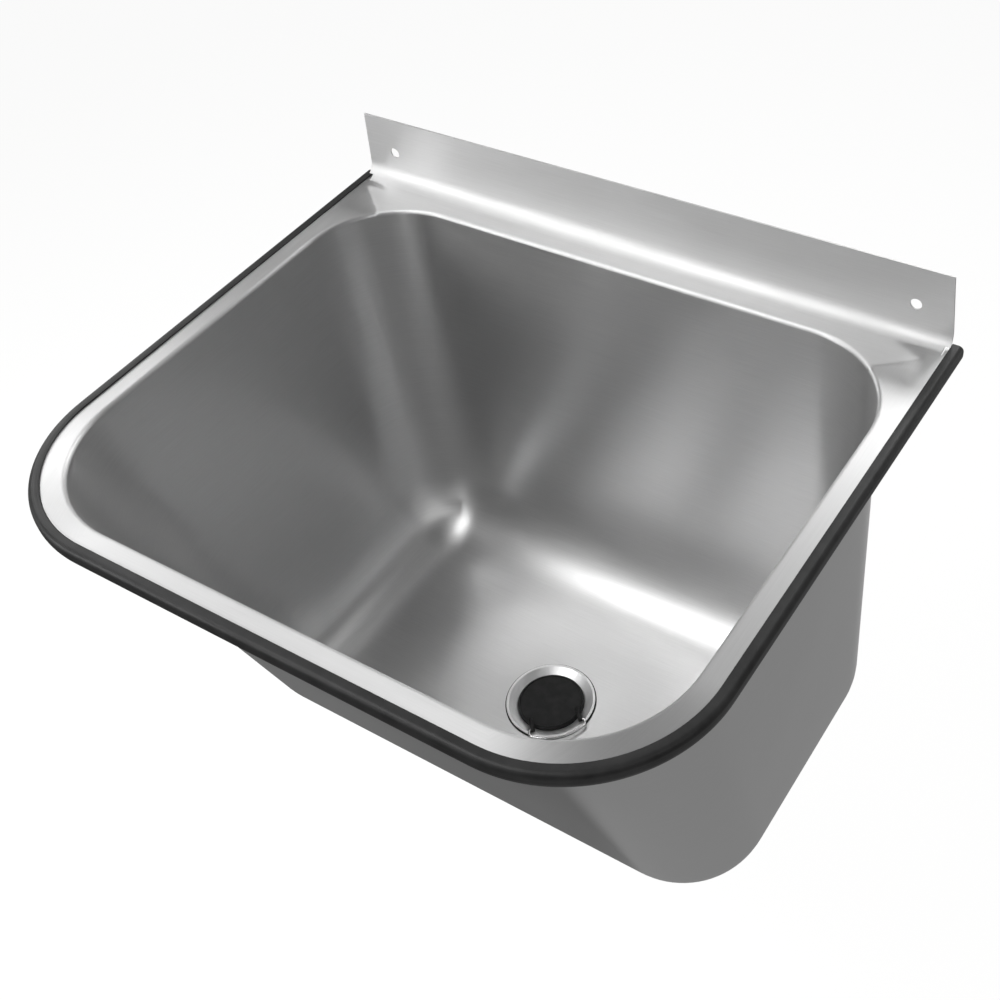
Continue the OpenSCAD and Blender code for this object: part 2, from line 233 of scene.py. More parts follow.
def brushedSteel(name, colour, roughness, anisotropy):
    # 304 stainless sheet with a satin, belt-ground finish: neutral grey, fine lines along the brushing
    made, tree = newMaterial(name)
    uv = addNode(tree, "UVMap", {"uv_map": "brush"})
    grainMap = addNode(tree, "Mapping", {
        "Scale": (1 / steelLook["grainLength"], 1 / steelLook["grainSpacing"], 1)
    }, {"Vector": uv.outputs["UV"]})
    grain = addNode(tree, "TexNoise", {
        "Scale": 1.0, "Detail": 4.0, "Roughness": 0.6
    }, {"Vector": grainMap.outputs[0]})
    place = addNode(tree, "TexCoord")
    cloud = addNode(tree, "TexNoise", {"Scale": 9.0, "Detail": 3.0}, {"Vector": place.outputs["Object"]})
    scratchMap = addNode(tree, "Mapping", {
        "Scale": (1 / steelLook["scratchLength"], 1 / steelLook["scratchSpacing"], 1), "Rotation": (0, 0, 0.3)
    }, {"Vector": uv.outputs["UV"]})
    scratch = addNode(tree, "TexVoronoi", {
        "feature": "DISTANCE_TO_EDGE", "Scale": 1.0, "Randomness": 1.0
    }, {"Vector": scratchMap.outputs[0]})
    scratchRamp = addNode(tree, "ValToRGB", {}, {"Fac": scratch.outputs["Distance"]})
    scratchLine = setRamp(scratchRamp, [(0.0, 1.0), (steelLook["scratchWidth"], 0.0)])
    spread = steelLook["grainSpread"]
    grainRough = addNode(tree, "MapRange", {
        "From Min": 0.3, "From Max": 0.7, "To Min": roughness - spread, "To Max": roughness + spread
    }, {"Value": grain.outputs["Fac"]})
    smoothest, roughest = steelLook["cloudSpread"]
    cloudRough = addNode(tree, "MapRange", {
        "From Min": 0.3, "From Max": 0.7, "To Min": smoothest, "To Max": roughest
    }, {"Value": cloud.outputs["Fac"]})
    rough = addNode(tree, "Math", {"operation": "ADD"}, {0: grainRough.outputs[0], 1: cloudRough.outputs[0]})
    scratchRough = addNode(tree, "Math", {
        "operation": "MULTIPLY_ADD", 1: steelLook["scratchRoughness"]
    }, {0: scratchLine.outputs["Color"], 2: rough.outputs[0]})
    darkest, lightest = steelLook["grainTone"]
    tone = addNode(tree, "MapRange", {
        "From Min": 0.25, "From Max": 0.75, "To Min": darkest, "To Max": lightest
    }, {"Value": grain.outputs["Fac"]})
    shade = addNode(tree, "VectorMath", {
        "operation": "SCALE", 0: srgb(colour)[:3]
    }, {"Scale": tone.outputs[0]})
    bump = addNode(tree, "Bump", {
        "Strength": steelLook["grainBump"], "Distance": 0.0002
    }, {"Height": grain.outputs["Fac"]})
    direction = addNode(tree, "Attribute", {"attribute_name": "brushing"})
    shader = addNode(tree, "BsdfPrincipled", {
        "Metallic": 1.0, "Anisotropic": anisotropy, "Anisotropic Rotation": 0.25
    }, {
        "Base Color": shade.outputs[0],
        "Roughness": scratchRough.outputs[0],
        "Normal": bump.outputs[0],
        "Tangent": direction.outputs["Vector"],
    })
    addNode(tree, "OutputMaterial", {}, {"Surface": shader.outputs[0]})
    return made


waveTurn = 0.314  # a wave texture of this scale repeats once in each unit of length


def brightSteel(name, roughness, spacing, centre):
    # stamped and polished stainless, or drawn wire: bright, with faint turning lines round the waste's axis
    made, tree = newMaterial(name)
    place = addNode(tree, "TexCoord")
    centred = addNode(tree, "Mapping", {
        "Location": [-c for c in centre]
    }, {"Vector": place.outputs["Object"]})
    rings = addNode(tree, "TexWave", {
        "wave_type": "RINGS", "rings_direction": "Z", "Scale": waveTurn / (spacing * millimetre),
        "Distortion": 0.6, "Detail": 2.0, "Detail Scale": 2.0
    }, {"Vector": centred.outputs[0]})
    smudge = addNode(tree, "TexNoise", {"Scale": 120.0, "Detail": 3.0}, {"Vector": place.outputs["Object"]})
    mixed = addNode(tree, "Math", {"operation": "ADD"}, {0: rings.outputs["Fac"], 1: smudge.outputs["Fac"]})
    rough = addNode(tree, "MapRange", {
        "From Min": 0.3, "From Max": 1.6, "To Min": roughness * 0.7, "To Max": roughness * 1.4
    }, {"Value": mixed.outputs[0]})
    bump = addNode(tree, "Bump", {"Strength": 0.04, "Distance": 0.0001}, {"Height": rings.outputs["Fac"]})
    shader = addNode(tree, "BsdfPrincipled", {
        "Metallic": 1.0, "Base Color": srgb("#e4e4e4")
    }, {"Roughness": rough.outputs[0], "Normal": bump.outputs[0]})
    addNode(tree, "OutputMaterial", {}, {"Surface": shader.outputs[0]})
    return made


rubberLook = {
    "profileSheen": 0.3,
    "mouldedSheen": 0.16,  # soft black rubber with a blooming skin mirrors less than a hard plastic
    "lineLength": 60.0,
    "lineSpacing": 0.7,
}


def extrudedRubber():
    # extruded EPDM rubber: near black, with a soft sheen and fine lines along the extrusion
    made, tree = newMaterial("extruded_rubber")
    uv = addNode(tree, "UVMap", {"uv_map": "brush"})
    lineMap = addNode(tree, "Mapping", {
        "Scale": (1 / rubberLook["lineLength"], 1 / rubberLook["lineSpacing"], 1)
    }, {"Vector": uv.outputs["UV"]})
    lines = addNode(tree, "TexNoise", {"Scale": 1.0, "Detail": 3.0}, {"Vector": lineMap.outputs[0]})
    place = addNode(tree, "TexCoord")
    dust = addNode(tree, "TexNoise", {
        "Scale": 60.0, "Detail": 5.0, "Roughness": 0.65
    }, {"Vector": place.outputs["Object"]})
    toneRamp = addNode(tree, "ValToRGB", {}, {"Fac": dust.outputs["Fac"]})
    tone = setRamp(toneRamp, [(0.35, 0.009), (0.75, 0.018)])
    rough = addNode(tree, "MapRange", {
        "From Min": 0.3, "From Max": 0.7, "To Min": 0.40, "To Max": 0.54
    }, {"Value": lines.outputs["Fac"]})
    bump = addNode(tree, "Bump", {"Strength": 0.15, "Distance": 0.0002}, {"Height": lines.outputs["Fac"]})
    shader = addNode(tree, "BsdfPrincipled", {
        "IOR": 1.52, "Specular IOR Level": rubberLook["profileSheen"]
    }, {
        "Base Color": tone.outputs["Color"], "Roughness": rough.outputs[0], "Normal": bump.outputs[0]
    })
    addNode(tree, "OutputMaterial", {}, {"Surface": shader.outputs[0]})
    return made


def mouldedRubber(name, dark, light, roughness):
    # moulded rubber: matt black with a fine pitted skin and a little bloom in patches
    made, tree = newMaterial(name)
    place = addNode(tree, "TexCoord")
    bloom = addNode(tree, "TexNoise", {"Scale": 110.0, "Detail": 4.0}, {"Vector": place.outputs["Object"]})
    pits = addNode(tree, "TexNoise", {"Scale": 900.0, "Detail": 2.0}, {"Vector": place.outputs["Object"]})
    toneRamp = addNode(tree, "ValToRGB", {}, {"Fac": bloom.outputs["Fac"]})
    tone = setRamp(toneRamp, [(0.4, dark), (0.7, light)])
    rough = addNode(tree, "MapRange", {
        "From Min": 0.3, "From Max": 0.7, "To Min": roughness - 0.08, "To Max": roughness + 0.1
    }, {"Value": bloom.outputs["Fac"]})
    bump = addNode(tree, "Bump", {"Strength": 0.2, "Distance": 0.0002}, {"Height": pits.outputs["Fac"]})
    shader = addNode(tree, "BsdfPrincipled", {
        "IOR": 1.52, "Specular IOR Level": rubberLook["mouldedSheen"]
    }, {
        "Base Color": tone.outputs["Color"], "Roughness": rough.outputs[0], "Normal": bump.outputs[0]
    })
    addNode(tree, "OutputMaterial", {}, {"Surface": shader.outputs[0]})
    return made


def mouldedPolypropylene():
    # injection-moulded polypropylene: off-white with a fine spark-eroded grain and a waxy gloss
    made, tree = newMaterial("moulded_polypropylene")
    place = addNode(tree, "TexCoord")
    grain = addNode(tree, "TexNoise", {"Scale": 1400.0, "Detail": 2.0}, {"Vector": place.outputs["Object"]})
    flow = addNode(tree, "TexNoise", {"Scale": 40.0, "Detail": 3.0}, {"Vector": place.outputs["Object"]})
    tone = addNode(tree, "MixRGB", {
        "Color1": srgb("#e4e4e0"), "Color2": srgb("#efefec")
    }, {"Fac": flow.outputs["Fac"]})
    rough = addNode(tree, "MapRange", {
        "From Min": 0.3, "From Max": 0.7, "To Min": 0.34, "To Max": 0.48
    }, {"Value": flow.outputs["Fac"]})
    bump = addNode(tree, "Bump", {"Strength": 0.15, "Distance": 0.0001}, {"Height": grain.outputs["Fac"]})
    shader = addNode(tree, "BsdfPrincipled", {"IOR": 1.49}, {
        "Base Color": tone.outputs["Color"], "Roughness": rough.outputs[0], "Normal": bump.outputs[0]
    })
    addNode(tree, "OutputMaterial", {}, {"Surface": shader.outputs[0]})
    return made


bowlSteel = brushedSteel(
    "satin_stainless_bowl", steelLook["bowlColour"], steelLook["bowlRoughness"], steelLook["bowlAnisotropy"])
rimSteel = brushedSteel(
    "satin_stainless_rim", steelLook["rimColour"], steelLook["rimRoughness"], steelLook["rimAnisotropy"])
wasteCentre = (0.0, waste["y"] * millimetre, 0.0)
wasteSteel = brightSteel("polished_stainless_waste", roughness=0.42, spacing=0.5, centre=wasteCentre)
wireSteel = brightSteel("bright_steel_wire", roughness=0.16, spacing=0.9, centre=wasteCentre)
stripRubber = extrudedRubber()
sealRubber = mouldedRubber("moulded_rubber_seal", dark=0.010, light=0.016, roughness=0.5)
plugRubber = mouldedRubber("moulded_rubber_plug", dark=0.009, light=0.022, roughness=0.42)
wastePlastic = mouldedPolypropylene()
print("materials made")


# Bowl

bowl = {
    "start": -3.0,
    "creaseDrop": 1.0,  # from the start down to where the wall begins to lean
    "creaseTop": -3.2,
    "creaseBottom": -5.4,
    "creaseSteps": 3,
    "wallSteps": 12,
    "footSteps": 14,
    "footEnd": 88.0,  # degrees; the floor takes over here
    "floorSteps": 9,
    "floorSpread": 0.8,  # below 1, the steps get closer together towards the waste
    "floorBlend": 0.3,  # share of the floor in which the foot's end levels out
    "seatRadius": 46.0,
    "holeRadius": 35.5,
    "dip": 4.0,
    "dipReach": 140.0,
    "brushDepth": 150.0,  # half the depth of the box that the brushing goes round
    "brushTurn": (-345.0, -300.0),  # heights between which it turns straight
    "flatNormal": 0.97,  # faces that look up more than this take the floor's straight brushing
    "sharpAngle": 40,
}


def smoothStep(low, high, value):
    share = min(1, max(0, (value - low) / (high - low)))
    return share * share * (3 - 2 * share)


def wallAngle(station):
    # lean of the wall that touches both the opening's edge and the foot, in this direction
    reach = (station["edge"] - station["foot"]).dot(station["out"])
    drop = bowl["start"] - bowl["creaseDrop"] - foot["z"]
    return math.acos(foot["radius"] / math.hypot(reach, drop)) - math.atan2(drop, reach)


def bowlProfile(station):
    # points down the wall, round the foot, over the floor and in to the hole
    out = station["out"].to_3d()
    top = station["edge"].to_3d()
    lean = wallAngle(station)
    centre = Vector((*station["foot"], foot["z"]))
    points = [top + Vector((0, 0, bowl["start"]))]

    def onFoot(angle):
        return centre + foot["radius"] * (math.cos(angle) * out - math.sin(angle) * Vector((0, 0, 1)))

    touch = onFoot(lean)
    crease = top + Vector((0, 0, bowl["start"] - bowl["creaseDrop"]))
    downWall = (touch - crease).normalized()
    first = top + Vector((0, 0, bowl["creaseTop"]))
    last = crease + downWall * (crease.z - bowl["creaseBottom"])
    for step in range(bowl["creaseSteps"] + 1):
        share = step / bowl["creaseSteps"]
        points.append(first.lerp(crease, share).lerp(crease.lerp(last, share), share))
    for step in range(1, bowl["wallSteps"] + 1):
        points.append(last.lerp(touch, step / bowl["wallSteps"]))
    end = math.radians(bowl["footEnd"])
    for step in range(1, bowl["footSteps"] + 1):
        points.append(onFoot(lean + (end - lean) * step / bowl["footSteps"]))
    wasteAt = Vector((0, waste["y"], 0))
    edge = points[-1].copy()
    inward = (edge - wasteAt).to_2d().normalized().to_3d()
    seat = wasteAt + bowl["seatRadius"] * inward
    floorTop = waste["floor"] + bowl["dip"]
    for step in range(1, bowl["floorSteps"] + 1):
        share = (step / bowl["floorSteps"]) ** bowl["floorSpread"]
        spot = edge.lerp(seat, share)
        away = (spot - wasteAt).to_2d().length
        sink = 1 - smoothStep(bowl["seatRadius"], bowl["dipReach"], away)
        level = edge.z + (floorTop - edge.z) * smoothStep(0, bowl["floorBlend"], share)
        points.append(Vector((spot.x, spot.y, level - bowl["dip"] * sink)))
    points.append(wasteAt + Vector((0, 0, waste["floor"])) + (bowl["seatRadius"] - 1) * inward)
    points.append(wasteAt + Vector((0, 0, waste["floor"])) + bowl["holeRadius"] * inward)
    return points


def setBrushing(made, find):
    # a direction at every vertex along which the steel is brushed
    data = made.data
    layer = data.attributes.new("brushing", "FLOAT_VECTOR", "POINT")
    for vert in data.vertices:
        layer.data[vert.index].vector = find(vert.co / millimetre)


def bowlBrushing(spot):
    # round the walls, turning to straight lines from side to side on the floor
    centre = Vector((0, (foot["front"] + foot["back"]) / 2))
    away = spot.to_2d() - centre
    box = Vector((away.x / opening["halfWidth"], away.y / bowl["brushDepth"]))
    around = Vector((-box.y ** 3, box.x ** 3)).normalized() if box.length > 1e-6 else Vector((1, 0))
    if around.x < 0:
        around = -around if abs(around.x) > abs(around.y) else around
    share = smoothStep(*bowl["brushTurn"], spot.z - rimHeight)
    mixed = Vector((1, 0)).lerp(around, share)
    return mixed.normalized().to_3d()


def buildBowl():
    # one sheet, extruded loop by loop from the opening down to the hole, then given its thickness outwards
    stations = ringStations()
    profiles = [bowlProfile(station) for station in stations]
    bm = bmesh.new()
    layer, loop = startLoop(bm, stations, lambda number: profiles[number][0])
    levelLayer = bm.verts.layers.int.new("level")
    for level in range(1, len(profiles[0])):
        def place(vert):
            vert[levelLayer] = level
            return profiles[vert[layer]][level]
        loop = nextLoop(bm, loop, place)
    faceUp(bm, lambda face: face.calc_center_median().z)
    uv = bm.loops.layers.uv.new("brush")
    total = stations[-1]["along"] + (stations[0]["edge"] - stations[-1]["edge"]).length
    depth = [[0.0] for profile in profiles]
    for number, profile in enumerate(profiles):
        for before, after in zip(profile, profile[1:]):
            depth[number].append(depth[number][-1] + (after - before).length)
    for face in bm.faces:
        numbers = [vert[layer] for vert in face.verts]
        wraps = max(numbers) - min(numbers) > 1
        flat = face.normal.z > bowl["flatNormal"]
        for corner in face.loops:
            vert = corner.vert
            along = total if wraps and vert[layer] == 0 else stations[vert[layer]]["along"]
            wallSpot = (along, depth[vert[layer]][vert[levelLayer]])
            corner[uv].uv = vert.co.to_2d() if flat else wallSpot
    made = finishPiece(bm, "bowlShell", bowlSteel, "tub", "bowl")
    thicken(made, sheet["thickness"])
    applyModifiers(made, bowl["sharpAngle"])
    setBrushing(made, bowlBrushing)
    return made


buildBowl()
print("bowl made")


# Rim sheet

rim = {
    "hemRadius": 2.4,  # outside of the hem's bend
    "hemHeight": 12.0,
    "hemSteps": 5,
    "hemHold": 0.6,  # first short step past the bend
    "lipSteps": 7,
    "lipMargin": 0.5,
    "deckShares": (0, 0.3, 0.65, 0.95, 1),
    "bendRadius": 12.0,  # inside of the soft bend up to the wall
    "notchSteps": 6,
    "bendSteps": 5,
    "bendHold": 0.5,
    "bendEnd": 247.0,
    "slotEnd": 247.8,  # a narrow slot frees the bend at each end
    "plateHeight": 56.0,
    "plateFoot": 251.0,
    "plateHead": 247.0,
    "notchHeight": 2.5,
    "mitreSlope": 0.955,
    "holeSpacing": 445.0,
    "holeHeight": 26.0,
    "holeRadius": 4.25,
    "sharpAngle": 35,
}

foldDepth = rim["bendRadius"] + sheet["thickness"]
frontLine = sheet["cornerRadius"] - sheet["depth"]  # where the sheet's front corners begin
near = 0.01  # vertices closer than this count as being in one place or on one line


def rimOutline(station):
    # where the flat of the rim ends, outwards from this station; three stations in each back corner go to
    # the edge, to the slot's end and to the bend's end
    half = sheet["halfWidth"] - rim["hemRadius"]
    front = sheet["depth"] - rim["hemRadius"]
    radius = sheet["cornerRadius"] - rim["hemRadius"]
    edge, out = station["edge"], station["out"]
    corner = Vector((half - radius, radius - front))
    if station["corner"] and edge.y < frontLine / 2:
        return Vector((math.copysign(corner.x, edge.x), corner.y)) + radius * out
    if station["corner"]:
        middle = opening["cornerSteps"] // 2
        named = {middle: half, middle + 1: rim["slotEnd"], middle + 2: rim["bendEnd"]}
        step = station["step"] if edge.x > 0 else opening["cornerSteps"] - station["step"]
        if step in named:
            return Vector((math.copysign(named[step], edge.x), -foldDepth))
        toSide = (half - abs(station["corner"].x)) / max(abs(out.x), 1e-6)
        toBack = (-foldDepth - station["corner"].y) / max(out.y, 1e-6)
        return station["corner"] + out * min(toSide, toBack)
    if abs(out.x) > 0.5:
        back = -opening["back"] - opening["backRadius"]
        share = (edge.y - back) / (opening["frontRadius"] - opening["front"] - back)
        return Vector((math.copysign(half, edge.x), back + (corner.y - back) * share))
    if out.y < 0:
        return Vector((edge.x * corner.x / (opening["halfWidth"] - opening["frontRadius"]), -front))
    return Vector((edge.x, -foldDepth))


def outwardFrom(spot):
    # outward direction of the sheet's left, front and right edges
    corner = Vector((sheet["halfWidth"] - sheet["cornerRadius"], frontLine))
    side = math.copysign(1, spot.x)
    if spot.y > corner.y:
        return Vector((side, 0, 0))
    if abs(spot.x) < corner.x:
        return Vector((0, -1, 0))
    return Vector((spot.x - side * corner.x, spot.y - corner.y, 0)).normalized()


def rimBrushing(spot):
    # along each edge, turning round the front corners, with a mitre at the back
    fromCorner = spot.y + opening["back"] + opening["backRadius"]
    mitre = opening["halfWidth"] - opening["backRadius"] + rim["mitreSlope"] * fromCorner
    if fromCorner > 0 and abs(spot.x) < mitre:
        return Vector((1, 0, 0))
    out = outwardFrom(spot)
    return Vector((-out.y, out.x, 0))


def rimBrushCoordinates(bm):
    # texture coordinates that run along and across the brushing
    uv = bm.loops.layers.uv.new("brush")
    for face in bm.faces:
        middle = face.calc_center_median()
        along = rimBrushing(middle)
        upright = abs(face.normal.z) < 0.7
        for corner in face.loops:
            spot = corner.vert.co
            if abs(along.x) > 0.999:
                corner[uv].uv = (spot.x, spot.z - spot.y)
            elif abs(along.y) > 0.999:
                corner[uv].uv = (spot.y, spot.x - (spot.z if upright else 0))
            else:
                out = outwardFrom(spot)
                turn = math.atan2(out.y, out.x) * sheet["cornerRadius"]
                reach = Vector((spot.x, spot.y - frontLine)).length
                corner[uv].uv = (turn, reach - (spot.z if upright else 0))


def cutHoles(made, spots, radius):
    # round holes through the plate, by a throw-away cutter
    bm = bmesh.new()
    for x, z in spots:
        turn = Matrix.Translation((x, 0, z)) @ Matrix.Rotation(math.pi / 2, 4, "X")
        bmesh.ops.create_cone(
            bm, cap_ends=True, segments=48, radius1=radius, radius2=radius, depth=10, matrix=turn)
    toFrame(bm)
    mesh = bpy.data.meshes.new("cutter")
    bm.to_mesh(mesh)
    bm.free()
    cutter = bpy.data.objects.new("cutter", mesh)
    bpy.context.scene.collection.objects.link(cutter)
    cut = made.modifiers.new("holes", "BOOLEAN")
    cut.operation = "DIFFERENCE"
    cut.object = cutter
    cut.solver = "EXACT"
    return cutter


def buildRim():
    # one sheet, extruded outwards from the rolled lip, over the deck and on to the hem and the wall
    stations = ringStations()
    lip = opening["lipRadius"]
    bm = bmesh.new()

    def lipPoint(number, angle):
        station = stations[number]
        spot = station["edge"] + station["out"] * lip * (1 - math.cos(angle))
        return Vector((*spot, lip * (math.sin(angle) - 1)))

    layer, loop = startLoop(bm, stations, lambda number: lipPoint(number, 0))
    for step in range(1, rim["lipSteps"] + 1):
        angle = math.pi / 2 * step / rim["lipSteps"]
        loop = nextLoop(bm, loop, lambda vert: lipPoint(vert[layer], angle))

    def deckPoint(number, share):
        station = stations[number]
        inner = station["edge"] + station["out"] * (lip + rim["lipMargin"])
        return inner.lerp(rimOutline(station), share).to_3d()

    for share in rim["deckShares"]:
        loop = nextLoop(bm, loop, lambda vert: deckPoint(vert[layer], share))

    half = sheet["halfWidth"] - rim["hemRadius"]
    backLine = [e for e in loop if all(abs(v.co.y + foldDepth) < near for v in e.verts)]
    ears = [e for e in backLine if all(abs(v.co.x) > rim["slotEnd"] - near for v in e.verts)]
    foldLine = [e for e in backLine if all(abs(v.co.x) < rim["bendEnd"] + near for v in e.verts)]
    nextLoop(bm, ears, lambda vert: Vector((vert.co.x, 0, 0)))

    # hem along the left, the front and the right
    def onOuterEdge(spot):
        return abs(spot.z) < near and (abs(abs(spot.x) - half) < near or spot.y < frontLine - near)

    outer = [e for e in bm.edges if e.is_boundary and all(onOuterEdge(v.co) for v in e.verts)]
    radius = rim["hemRadius"]
    baseLayer = bm.verts.layers.float_vector.new("base")
    for edge in outer:
        for vert in edge.verts:
            vert[baseLayer] = vert.co

    def hemPoint(vert, outwards, drop):
        base = vert[baseLayer]
        return base + outwardFrom(base) * outwards - Vector((0, 0, drop))

    for step in range(1, rim["hemSteps"] + 1):
        angle = math.pi / 2 * step / rim["hemSteps"]
        outer = nextLoop(
            bm, outer, lambda vert: hemPoint(vert, radius * math.sin(angle), radius * (1 - math.cos(angle))))
    for drop in (radius + rim["hemHold"], rim["hemHeight"]):
        outer = nextLoop(bm, outer, lambda vert: hemPoint(vert, radius, drop))

    # bend and plate at the wall; the plate widens from the notch upwards
    bend = rim["bendRadius"]
    notch = math.acos(1 - rim["notchHeight"] / bend)
    angles = [notch * step / rim["notchSteps"] for step in range(1, rim["notchSteps"] + 1)]
    rest = math.pi / 2 - notch
    angles += [notch + rest * step / rim["bendSteps"] for step in range(1, rim["bendSteps"] + 1)]
    for angle in angles:
        foldLine = nextLoop(bm, foldLine, lambda vert: Vector((
            vert.co.x, bend * math.sin(angle) - foldDepth, bend * (1 - math.cos(angle)))))
    for height in (bend + rim["bendHold"], rim["plateHeight"]):
        foldLine = nextLoop(bm, foldLine, lambda vert: Vector((vert.co.x, vert.co.y, height)))
    sides = [
        e for e in bm.edges
        if e.is_boundary and min(v.co.z for v in e.verts) > rim["notchHeight"] - near
        and all(abs(abs(v.co.x) - rim["bendEnd"]) < near for v in e.verts)
    ]
    taper = (rim["plateFoot"] - rim["plateHead"]) / rim["plateHeight"]
    nextLoop(bm, sides, lambda vert: Vector((
        math.copysign(rim["plateFoot"] - taper * vert.co.z, vert.co.x), vert.co.y, vert.co.z)))
    bmesh.ops.remove_doubles(bm, verts=bm.verts, dist=0.001)
    deckFront = Vector((0, -(opening["front"] + sheet["depth"]) / 2, 0))
    faceUp(bm, lambda face: (face.calc_center_median() - deckFront).length)
    rimBrushCoordinates(bm)
    made = finishPiece(bm, "rimPlate", rimSteel, "tub", "rim_sheet")
    thicken(made, sheet["thickness"])
    cutter = cutHoles(
        made, [(side * rim["holeSpacing"] / 2, rim["holeHeight"]) for side in (-1, 1)], rim["holeRadius"])
    applyModifiers(made, rim["sharpAngle"])
    bpy.data.objects.remove(cutter)
    setBrushing(made, rimBrushing)
    return made


buildRim()
print("rim made")


# Edge strip

strip = {
    "out": 3.4,
    "lipWidth": 5.0,
    "lipThickness": 1.2,
    "topRadius": 4.0,
    "noseRadius": 10.0,
    "bottom": -15.0,
    "legBack": -3.2,
    "legTop": -4.0,
    "fit": 0.1,
    "straightSteps": 8,
    "cornerSteps": 36,
    "sharpAngle": 40,
}


def arcPoints(centre, radius, start, stop, steps):
    angles = [math.radians(start + (stop - start) * step / steps) for step in range(steps + 1)]
    return [(centre[0] + radius * math.cos(a), centre[1] + radius * math.sin(a)) for a in angles]


def stripSection():
    # closed outline of the strip: out is positive, starting at the tip of the lip on the rim
    fit = strip["fit"]
    thick = strip["lipThickness"]
    hem = rim["hemRadius"]
    inside = -sheet["thickness"] - fit
    noseX = strip["out"] - strip["noseRadius"]
    noseZ = strip["bottom"] + math.sqrt(strip["noseRadius"] ** 2 - (strip["legBack"] - noseX) ** 2)
    noseEnd = -math.degrees(math.acos((strip["legBack"] - noseX) / strip["noseRadius"]))
    points = arcPoints((thick / 2 - strip["lipWidth"], thick / 2), thick / 2, 235, 90, 6)
    topCentre = (strip["out"] - strip["topRadius"], thick - strip["topRadius"])
    points += arcPoints(topCentre, strip["topRadius"], 90, 0, 10)
    points += arcPoints((noseX, noseZ), strip["noseRadius"], 0, noseEnd, 12)
    points += [(strip["legBack"], strip["legTop"]), (inside, strip["legTop"])]
    points += [(inside, -rim["hemHeight"] - fit), (fit, -rim["hemHeight"] - fit)]
    points += arcPoints((-hem, -hem), hem + fit, 0, 90, 5)
    return points


def pathLength(spot):
    # distance along the strip from the wall on the right
    straight = sheet["depth"] - sheet["cornerRadius"]
    quarter = math.pi / 2 * sheet["cornerRadius"]
    front = 2 * (sheet["halfWidth"] - sheet["cornerRadius"])
    cornerX = front / 2
    out = outwardFrom(spot)
    if spot.y > -straight:
        length = -spot.y
    elif abs(spot.x) < cornerX:
        length = straight + quarter + cornerX - abs(spot.x)
    else:
        length = straight + quarter * math.atan2(-out.y, abs(out.x)) / (math.pi / 2)
    return length if spot.x > 0 else 2 * (straight + quarter) + front - length


def buildStrip():
    # the section, run along the right, round the front and back along the left
    points = stripSection()
    bm = bmesh.new()
    around = bm.verts.layers.float.new("around")
    loop = bmesh.ops.create_circle(bm, segments=len(points), radius=1)["verts"]
    length = 0.0
    for number, (vert, (out, up)) in enumerate(zip(loop, points)):
        if number:
            length += math.dist(points[number], points[number - 1])
        vert.co = Vector((sheet["halfWidth"] + out, 0, up))
        vert[around] = length
    edges = list({edge for vert in loop for edge in vert.link_edges})
    first = list(edges)
    straight = sheet["depth"] - sheet["cornerRadius"]
    cornerX = sheet["halfWidth"] - sheet["cornerRadius"]

    def runAlong(edges, move):
        for step in range(strip["straightSteps"]):
            edges = nextLoop(bm, edges, lambda vert: vert.co + Vector(move) / strip["straightSteps"])
        return edges

    def turnRound(edges, centre):
        verts = list({vert for edge in edges for vert in edge.verts})
        made = bmesh.ops.spin(
            bm, geom=verts + edges, cent=centre, axis=(0, 0, 1), angle=-math.pi / 2,
            steps=strip["cornerSteps"], use_duplicate=False)
        return [g for g in made["geom_last"] if isinstance(g, bmesh.types.BMEdge)]

    edges = runAlong(edges, (0, -straight, 0))
    edges = turnRound(edges, (cornerX, -straight, 0))
    edges = runAlong(edges, (-2 * cornerX, 0, 0))
    edges = turnRound(edges, (-cornerX, -straight, 0))
    edges = runAlong(edges, (0, straight, 0))
    bmesh.ops.edgeloop_fill(bm, edges=first)
    bmesh.ops.edgeloop_fill(bm, edges=edges)
    bmesh.ops.recalc_face_normals(bm, faces=bm.faces)
    uv = bm.loops.layers.uv.new("brush")
    for face in bm.faces:
        for corner in face.loops:
            corner[uv].uv = (pathLength(corner.vert.co), corner.vert[around])
    made = finishPiece(bm, "edgeProfile", stripRubber, "tub", "edge_strip")
    made.data.set_sharp_from_angle(angle=math.radians(strip["sharpAngle"]))
    return made


buildStrip()
print("edge strip made")


# Plug, drawn about the waste's axis with its hinge towards +X, then turned and set in the waste

plug = {
    "top": 0.6,
    "edgeRadius": 1.5,
    "radius": 28.5,
    "seatDrop": -1.5,
    "bottom": -12.0,
    "taper": 1.5,
    "chamfer": 0.6,
    "dishRadius": 14.0,
    "dish": 0.2,
    "beadRadius": 0.8,
    "beadRing": 26.6,
    "recessRadius": 10.0,
    "recessHeight": 5.0,
    "steps": 96,
    "turn": -46.0,
    "sharpAngle": 38,
}

bail = {
    "wireRadius": 1.0,
    "hingeReach": 27.5,
    "hingeHeight": 3.9,
    "runRadius": 40.3,
    "pinStart": 18.7,
    "earInside": 18.5,
    "earThickness": 3.5,
    "earFoot": [(11.3, 0.1), (15.8, 0.1), (19.3, 2.2), (27.5, 2.0)],
    "earTop": (21.3, 5.8),
    "earRounding": 0.35,
    "pinBend": 1.6,
    "cornerBend": 3.0,
    "knuckleRadius": 1.9,
    "sides": 16,
    "sharpAngle": 40,
}


def setInWaste(bm):
    # from the waste's axis to its place in the bowl
    turn = Matrix.Rotation(math.radians(plug["turn"]), 4, "Z")
    bmesh.ops.transform(bm, matrix=turn, verts=bm.verts)
    bmesh.ops.translate(bm, vec=(0, waste["y"], waste["floor"]), verts=bm.verts)


